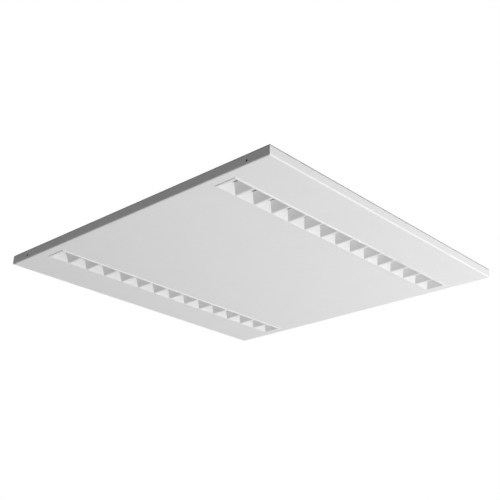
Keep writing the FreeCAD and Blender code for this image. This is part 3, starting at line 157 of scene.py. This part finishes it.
def feed(owner, socket, value):
    """Links an input to another node's socket, or sets a number or colour on it."""
    if isinstance(value, bpy.types.NodeSocket):
        owner.node_tree.links.new(value, socket)
    else:
        socket.default_value = value


def add(owner, kind, **inputs):
    """A node in a material or world, with its inputs."""
    node = owner.node_tree.nodes.new("ShaderNode" + kind)
    for name, value in inputs.items():
        feed(owner, node.inputs[name.replace("_", " ")], value)
    return node


def calculate(owner, operation, *values):
    """The result of a sum on numbers and sockets."""
    node = add(owner, "Math")
    node.operation = operation
    for socket, value in zip(node.inputs, values):
        feed(owner, socket, value)
    return node.outputs["Value"]


def places(material, stretch=(1, 1, 1)):
    """Object coordinates, squeezed along the directions in which a pattern runs."""
    source = add(material, "TexCoord").outputs["Object"]
    return add(material, "Mapping", Vector=source, Scale=stretch).outputs["Vector"]


def grain(material, size, detail=2.0, stretch=(1, 1, 1)):
    """Soft noise from 0 to 1 with features of a size in metres."""
    vector = places(material, stretch)
    return add(material, "TexNoise", Vector=vector, Scale=1 / size, Detail=detail).outputs["Fac"]


def spangle(material, size):
    """Zinc crystals of a size in metres, each with its own tone."""
    cells = add(material, "TexVoronoi", Vector=places(material), Scale=1 / size)
    return add(material, "SeparateColor", Color=cells.outputs["Color"]).outputs["Red"]


def tones(material, pattern, colour, contrast):
    """The colour, lighter and darker by a share of itself where the pattern is high and low."""
    ramp = add(material, "ValToRGB", Fac=pattern)
    for element, sign in zip(ramp.color_ramp.elements, (-1, 1)):
        element.color = [min(1, share * (1 + sign * contrast)) for share in colour] + [1]
    return ramp.outputs["Color"]


def spread(material, pattern, middle, half):
    """A number that follows the pattern, from half a range below its middle to half above."""
    scale = add(material, "MapRange", Value=pattern, From_Min=NOISE_LOW, From_Max=NOISE_HIGH,
                To_Min=middle - half, To_Max=middle + half)
    return scale.outputs["Result"]


def blend(material, share, first, second):
    """The first colour where the share is 0 and the second where it is 1."""
    return add(material, "MixRGB", Fac=share, Color1=first, Color2=second).outputs["Color"]


def muted(colour, tint):
    """A colour with only a share of its tint left, as light as before in its lightest part."""
    return [max(colour) + (part - max(colour)) * tint for part in colour]


def from_cell_middle(material):
    """How far a point lies from the middle of its cell, along the row and across it."""
    place = add(material, "SeparateXYZ", Vector=places(material))
    wrapped = calculate(material, "WRAP", place.outputs["X"], CELL_PITCH, 0)
    along = calculate(material, "SUBTRACT", wrapped, CELL_PITCH / 2)
    from_axis = calculate(material, "ABSOLUTE", place.outputs["Y"])
    across = calculate(material, "SUBTRACT", from_axis, ROW_OFFSET)
    return along, across


def in_throat(material, height):
    """1 on the straight walls round a window and 0 elsewhere."""
    inside = calculate(material, "GREATER_THAN", height, THROAT_LEVEL + THROAT_MARGIN)
    for way, span in zip(from_cell_middle(material), WINDOW):
        reach = calculate(material, "ABSOLUTE", way)
        near = calculate(material, "LESS_THAN", reach, span / 2 + THROAT_MARGIN)
        inside = calculate(material, "MULTIPLY", inside, near)
    return inside


# Finishes: colour, roughness, and a pattern of height with its depth in metres
Skin = namedtuple("Skin", "tone roughness height depth")


def paint(material, colour):
    """Neutral satin powder coat: fine orange peel and a faint cloudiness."""
    peel = grain(material, size=1.1 * MM, detail=3)
    cloud = grain(material, size=60 * MM)
    tone = tones(material, cloud, muted(colour, tint=0), contrast=0.012)
    return Skin(tone, spread(material, peel, middle=0.66, half=0.05), peel, depth=0.012 * MM)


def moulding(material, colour):
    """Moulded plastic: a fine eroded skin."""
    skin = grain(material, size=0.35 * MM)
    flow = grain(material, size=14 * MM)
    tone = tones(material, flow, colour, contrast=0.02)
    return Skin(tone, spread(material, skin, middle=0.38, half=0.06), skin, depth=0.006 * MM)


def reflector_skin(material, colour):
    """Moulded reflector: neutral cells in the record's darker tone as painted shade, a whiter rim below the
    tray and painted shade in the throats round the diodes.
    """
    skin = moulding(material, muted(colour, tint=0))
    height = add(material, "SeparateXYZ", Vector=places(material)).outputs["Z"]
    # painted shade: the cells keep the record's darker tone, and only the rim below the tray gets the
    # moulding's white
    rim = calculate(material, "LESS_THAN", height, strip_low.z + RIM_BAND)
    with_rim = blend(material, rim, skin.tone, RIM_WHITE)
    # painted shade: the throats' straight walls are darkened to stand for the shadow they lie in
    return skin._replace(tone=blend(material, in_throat(material, height), with_rim, THROAT_PAINTED_SHADE))


def zinc_sheet(material, colour):
    """Galvanised sheet: crystals that differ in tone and gloss."""
    crystals = spangle(material, size=7 * MM)
    tone = tones(material, crystals, colour, contrast=0.09)
    return Skin(tone, spread(material, crystals, middle=0.42, half=0.09), crystals, depth=0.002 * MM)


def drawn_metal(material, colour):
    """Bright rolled or drawn metal with lines along its length."""
    lines = grain(material, size=0.5 * MM, detail=3, stretch=(0.02, 1, 1))
    tone = tones(material, lines, colour, contrast=0.07)
    return Skin(tone, spread(material, lines, middle=0.3, half=0.08), lines, depth=0.004 * MM)


def plated(material, colour):
    """Plated or blackened small metal parts with a slight mottle."""
    mottle = grain(material, size=1.5 * MM, detail=4)
    tone = tones(material, mottle, colour, contrast=0.1)
    return Skin(tone, spread(material, mottle, middle=0.34, half=0.08), mottle, depth=0.003 * MM)


def rubber(material, colour):
    """Matt rubber with a dusty bloom."""
    bloom = grain(material, size=2.5 * MM, detail=5)
    tone = tones(material, bloom, colour, contrast=0.25)
    return Skin(tone, spread(material, bloom, middle=0.72, half=0.08), bloom, depth=0.01 * MM)


def solder_mask(material, colour):
    """Coated circuit board with a faint weave of the glass cloth below."""
    weave = grain(material, size=0.8 * MM, detail=1, stretch=(1, 0.3, 1))
    tone = tones(material, weave, colour, contrast=0.04)
    return Skin(tone, spread(material, weave, middle=0.4, half=0.05), weave, depth=0.003 * MM)


def phosphor(material, colour):
    """Diode package painted dark grey as shade, with a round window of phosphor grains under clear silicone.
    """
    grains = grain(material, size=0.2 * MM, detail=3)
    squares = [calculate(material, "MULTIPLY", way, way) for way in from_cell_middle(material)]
    distance = calculate(material, "SQRT", calculate(material, "ADD", *squares))
    outside = calculate(material, "GREATER_THAN", distance, DIODE_WINDOW / 2)
    window = tones(material, grains, muted(colour, PHOSPHOR_TINT), contrast=0.12)
    # painted shade: the package round each window is dark grey to stand for the shadow deep in the throat
    tone = blend(material, outside, window, DIODE_PACKAGE_PAINTED_SHADE)
    return Skin(tone, spread(material, grains, middle=0.3, half=0.04), grains, depth=0.002 * MM)


def extruded(material, skin, tone):
    """Extruded wire insulation in a tone."""
    return Skin(tone, spread(material, skin, middle=0.4, half=0.06), skin, depth=0.004 * MM)


def insulation(material, colour):
    """Wire of one colour."""
    skin = grain(material, size=WIRE_GRAIN)
    return extruded(material, skin, tones(material, skin, colour, contrast=0.06))


def striped_insulation(material, _mean_colour):
    """Earth wire: green along its sides and yellow along its top and bottom."""
    normal = add(material, "SeparateXYZ", Vector=add(material, "NewGeometry").outputs["Normal"])
    upright = calculate(material, "ABSOLUTE", normal.outputs["Z"])
    stripes = add(material, "ValToRGB", Fac=upright)
    stripes.color_ramp.interpolation = "CONSTANT"
    green, yellow = stripes.color_ramp.elements
    green.color = EARTH_GREEN
    yellow.color = EARTH_YELLOW
    yellow.position = EARTH_STRIPE
    return extruded(material, grain(material, size=WIRE_GRAIN), stripes.outputs["Color"])


# Which finish each material slot has, and its metallic share
SURFACES = {
    "white_powder_coat": (paint, 0),
    "galvanised_steel": (zinc_sheet, 0.85),
    "white_reflector": (reflector_skin, 0),
    "black_rubber": (rubber, 0),
    "seal_grey": (rubber, 0),
    "zinc_plated": (plated, 1),
    "black_oxide": (plated, 0.6),
    "board_white": (solder_mask, 0),
    "board_green": (solder_mask, 0),
    "spreader_aluminium": (drawn_metal, 1),
    "diode_yellow": (phosphor, 0),
    "nylon_white": (moulding, 0),
    "driver_white": (paint, 0),
    "component_dark": (moulding, 0),
    "terminal_grey": (moulding, 0),
    "button_orange": (moulding, 0),
    "spring_steel": (drawn_metal, 1),
    "contact_brass": (drawn_metal, 1),
    "tinned_copper": (plated, 1),
    "wire_brown": (insulation, 0),
    "wire_blue": (insulation, 0),
    "wire_green_yellow": (striped_insulation, 0),
    "lead_red": (insulation, 0),
    "lead_black": (insulation, 0),
}


def finish(slot, colour):
    """The material of one slot of the record, from the record's colour."""
    surface, metallic = SURFACES[slot]
    material = bpy.data.materials.new(slot)
    material.use_nodes = True
    shader = material.node_tree.nodes["Principled BSDF"]
    skin = surface(material, colour)
    bump = add(material, "Bump", Height=skin.height, Distance=skin.depth)
    inputs = {
        "Base Color": skin.tone,
        "Roughness": skin.roughness,
        "Normal": bump.outputs["Normal"],
        "Metallic": metallic,
        "Specular IOR Level": SPECULAR_PAINT if surface is paint else SPECULAR,
    }
    for name, value in inputs.items():
        feed(material, shader.inputs[name], value)
    return material


finishes = {row["slot"]: finish(row["slot"], row["base_color"]) for row in record["materials"]}


def dress(thing, slot):
    """Gives an object the finish of a slot and nothing else."""
    thing.data.materials.clear()
    thing.data.materials.append(finishes[slot])


for name, thing in frame["nodes"].items():
    dress(thing, slots[name])


# Finer forms

def welded(node):
    """The faces of a solid as one connected form."""
    form = bmesh.new()
    form.from_mesh(frame["nodes"][node].data)
    for layer in list(form.loops.layers.uv.values()):
        form.loops.layers.uv.remove(layer)
    bmesh.ops.remove_doubles(form, verts=form.verts, dist=WELD)
    return form


def stand_in(node, form):
    """A new piece with a form in the place of a solid: same body, same finish, smooth where it is round."""
    mesh = bpy.data.meshes.new(node + "_finished")
    bmesh.ops.recalc_face_normals(form, faces=form.faces)
    form.to_mesh(mesh)
    form.free()
    mesh.shade_smooth()
    mesh.set_sharp_from_angle(angle=SMOOTH_ANGLE)
    piece = bpy.data.objects.new(mesh.name, mesh)
    bpy.context.scene.collection.objects.link(piece)
    piece.modifiers.new("flat faces stay flat", "WEIGHTED_NORMAL").keep_sharp = True
    dress(piece, slots[node])
    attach(piece, bodies[node])
    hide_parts(node)
    return piece


def cut(form, faces, place, normal):
    """Divides faces along a plane through a place."""
    edges = dict.fromkeys(edge for face in faces for edge in face.edges)
    bmesh.ops.bisect_plane(form, geom=[*faces, *edges], dist=WELD, plane_co=place, plane_no=normal)


def ring(form, low, high, radius, level):
    """Points round a rectangle with rounded corners, the same number for every size."""
    points = []
    corners = ((high.x, high.y), (low.x, high.y), (low.x, low.y), (high.x, low.y))
    for quarter, (x, y) in enumerate(corners):
        inward = Vector((-1 if x == high.x else 1, -1 if y == high.y else 1)) * radius
        for step in range(CORNER_STEPS + 1):
            angle = math.pi / 2 * (quarter + step / CORNER_STEPS)
            points.append(form.verts.new((x + inward.x + radius * math.cos(angle),
                                          y + inward.y + radius * math.sin(angle), level)))
    return points


def join_rings(form, rings):
    """Faces between each ring and the next."""
    for first, second in zip(rings, rings[1:]):
        for index in range(len(first)):
            after = (index + 1) % len(first)
            form.faces.new((first[index], first[after], second[after], second[index]))


def both_ways(size):
    """The same size along the row and across it."""
    return Vector((size, size))


def wall_inset(share):
    """How far a cell's wall has come in from its mouth, along and across, at a share of its height."""
    bow = 4 * WALL_BOW * share * (1 - share)
    return (MOUTH - WINDOW) / 2 * share - both_ways(bow)


def cell(form, middle, tile_low, tile_high, mouth_level, window_level):
    """One cell: the rim round its mouth, a soft edge, bowed walls and the window's edge."""
    depth = window_level - mouth_level
    start = MOUTH_EDGE / depth
    rows = [(both_ways(-MOUTH_EDGE), 0.0)]
    for step in range(1, EDGE_STEPS + 1):
        part = step / EDGE_STEPS
        outside, inside = (1 - part) ** 2, part ** 2
        rows.append((wall_inset(start) * inside - both_ways(MOUTH_EDGE) * outside, start * inside))
    for step in range(1, WALL_STEPS + 1):
        share = start + (1 - start) * step / WALL_STEPS
        rows.append((wall_inset(share), share))
    rings = [ring(form, tile_low, tile_high, 0, mouth_level)]
    for inset, share in rows:
        reach = MOUTH / 2 - inset
        radius = VALLEY_RADIUS * (1 - share)
        rings.append(ring(form, middle - reach, middle + reach, radius, mouth_level + depth * share))
    join_rings(form, rings)


def open_top(form, middle, low, high):
    """Takes off what closes a cell above its funnel, and puts a throat and the land round it there."""
    level = high.z - THROAT
    foot = MOUTH / 2 + both_ways(SHELL_SIDE)
    head = WINDOW / 2 + both_ways(SHELL_LAND)
    back = foot.lerp(head, (level - low.z) / (high.z - low.z))

    def over_cell(point):
        """Whether a point lies above the cell's back at that level."""
        return all(abs(point[way] - middle[way]) < back[way] + WELD for way in (0, 1))

    tall = [face for face in form.faces
            if any(vertex.co.z > level + WELD and over_cell(vertex.co) for vertex in face.verts)]
    cut(form, tall, place=(0, 0, level), normal=(0, 0, 1))
    centres = [(face, face.calc_center_median()) for face in form.faces]
    lids = [face for face, centre in centres if centre.z > level - WELD and over_cell(centre)]
    bmesh.ops.delete(form, geom=lids, context="FACES")
    border = [vertex for vertex in form.verts if abs(vertex.co.z - level) < WELD and over_cell(vertex.co)]
    spare = [vertex for vertex in border
             if any(abs(vertex.co[way] - middle[way]) < back[way] - WELD for way in (0, 1))]
    bmesh.ops.dissolve_verts(form, verts=spare)
    sizes = ((back, level), (head, high.z), (WINDOW / 2, high.z), (WINDOW / 2, level))
    join_rings(form, [ring(form, middle - half, middle + half, 0, height) for half, height in sizes])


def take_off_light_side(form, low, high):
    """Deletes the faces of the rim and the cells that look down."""
    middle = (low + high) / 2
    light_side = []
    for face in form.faces:
        centre = face.calc_center_median()
        in_row = abs(centre.y - middle.y) < MOUTH.y / 2 and centre.z < high.z - THROAT - WELD
        if face.normal.z < DOWNWARD and (in_row or centre.z < low.z + WELD):
            light_side.append(face)
    bmesh.ops.delete(form, geom=light_side, context="FACES")


def divide_rim(form, low, place):
    """Divides the rim's outer faces between two cells, so that the cells' corners meet an edge there."""
    rim = [face for face in form.faces if any(vertex.co.z < low.z + WELD for vertex in face.verts)]
    cut(form, rim, place=(place, 0, 0), normal=(1, 0, 0))


def on_long_side(edge, low, high):
    """Whether an edge lies on one of the two flat long sides of the rim."""
    return any(all(abs(vertex.co.y - limit.y) < WELD for vertex in edge.verts) for limit in (low, high))


def aslant(edge):
    """Whether an edge on a long side is neither level nor upright, as between triangles of a flat side."""
    first, second = (vertex.co for vertex in edge.verts)
    return abs(first.x - second.x) > WELD and abs(first.z - second.z) > WELD


def round_rim(form, low, high):
    """Makes the rim's long sides of whole faces, so that they shade evenly, and rounds their lower edges."""
    sides = [edge for edge in form.edges if on_long_side(edge, low, high)]
    splits = [edge for edge in sides if aslant(edge)]
    lower = [edge for edge in sides if all(vertex.co.z < low.z + WELD for vertex in edge.verts)]
    bmesh.ops.dissolve_edges(form, edges=splits, use_verts=False)
    bmesh.ops.bevel(form, geom=lower, offset=RIM_EDGE, segments=EDGE_STEPS, profile=ROUND_PROFILE,
                    affect="EDGES")


def refine_reflector(node):
    """Takes the flat faced light side off a reflector and puts smooth open cells in its place."""
    low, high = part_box(node)
    middle = (low + high) / 2
    form = welded(node)
    take_off_light_side(form, low, high)
    first = middle.x - CELL_PITCH * (CELL_COUNT - 1) / 2
    dividers = [first + CELL_PITCH * (index + 0.5) for index in range(CELL_COUNT - 1)]
    for place in dividers:
        divide_rim(form, low, place)
    ends = [low.x, *dividers, high.x]
    for index in range(CELL_COUNT):
        place = Vector((first + CELL_PITCH * index, middle.y))
        tile_low = Vector((ends[index], low.y))
        tile_high = Vector((ends[index + 1], high.y))
        open_top(form, place, low, high)
        cell(form, place, tile_low, tile_high, low.z, high.z - THROAT)
    bmesh.ops.remove_doubles(form, verts=form.verts, dist=WELD)
    bmesh.ops.recalc_face_normals(form, faces=form.faces)
    round_rim(form, low, high)
    stand_in(node, form)


def press_spring(pole):
    """A leaf spring, welded and shaded smooth in the place of its solid, with a mesh of its own."""
    node = f"clamp_spring_{pole}"
    spring = stand_in(node, welded(node))
    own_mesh(spring)


for row in ("front", "rear"):
    refine_reflector(f"reflector_strip_{row}")
for pole in ("live", "neutral", "earth"):
    press_spring(pole)


# Studio

def seen(owner):
    """1 for rays of the camera, of mirrors and through glass, which see the backdrop as it is."""
    path = add(owner, "LightPath")
    total = path.outputs["Is Camera Ray"]
    for name in ("Is Glossy Ray", "Is Transmission Ray"):
        total = calculate(owner, "MAXIMUM", total, path.outputs[name])
    return total


def make_world():
    """White where it is seen, and a weak even light on everything."""
    world = bpy.data.worlds.new("studio")
    world.use_nodes = True
    world.node_tree.nodes.clear()
    mix = add(world, "MixShader", Fac=seen(world))
    for socket, strength in zip(mix.inputs[1:], (AMBIENT, BACKDROP)):
        light = add(world, "Background", Color=WHITE, Strength=strength)
        feed(world, socket, light.outputs["Background"])
    add(world, "OutputWorld", Surface=mix.outputs["Shader"])
    bpy.context.scene.world = world


def make_floor():
    """A pale floor below the luminaire, with a glow that is seen but puts no light on the object."""
    form = bmesh.new()
    bmesh.ops.create_grid(form, x_segments=FLOOR_TILES, y_segments=FLOOR_TILES, size=FLOOR_SIDE / 2)
    mesh = bpy.data.meshes.new("floor")
    form.to_mesh(mesh)
    form.free()
    floor = bpy.data.objects.new("floor", mesh)
    floor.location.z = FLOOR_LEVEL
    bpy.context.scene.collection.objects.link(floor)
    material = bpy.data.materials.new("floor_pale")
    material.use_nodes = True
    tone = tones(material, grain(material, size=0.8), FLOOR_COLOUR, contrast=0.01)
    inputs = {
        "Base Color": tone,
        "Roughness": FLOOR_ROUGHNESS,
        "Emission Color": tone,
        "Emission Strength": calculate(material, "MULTIPLY", seen(material), FLOOR_GLOW),
    }
    for name, value in inputs.items():
        feed(material, material.node_tree.nodes["Principled BSDF"].inputs[name], value)
    floor.data.materials.append(material)


def make_lamp(name, place, power, side):
    """A square soft lamp that points at the luminaire and isn't seen itself, nor in mirrors."""
    data = bpy.data.lights.new(name, "AREA")
    data.energy = power
    data.size = side
    lamp = bpy.data.objects.new(name, data)
    lamp.location = place
    lamp.rotation_euler = (-Vector(place)).to_track_quat("-Z", "Y").to_euler()
    lamp.visible_camera = False
    lamp.visible_glossy = False
    bpy.context.scene.collection.objects.link(lamp)


def make_camera():
    """The camera of the photograph, below the ceiling and looking up."""
    data = bpy.data.cameras.new("photo")
    data.sensor_width = SENSOR
    data.lens = LENS
    camera = bpy.data.objects.new("photo", data)
    heading = Matrix.Rotation(math.radians(CAMERA_HEADING - 90), 4, "Z")
    climb = Matrix.Rotation(math.radians(CAMERA_CLIMB + 90), 4, "X")
    roll = Matrix.Rotation(math.radians(CAMERA_ROLL), 4, "Z")
    camera.matrix_world = Matrix.Translation(CAMERA_PLACE) @ heading @ climb @ roll
    bpy.context.scene.collection.objects.link(camera)
    bpy.context.scene.camera = camera


make_world()
make_floor()
for name, (place, power, side) in LAMPS.items():
    make_lamp(name, place, power, side)
make_camera()
bpy.context.scene.view_settings.view_transform = "Standard"
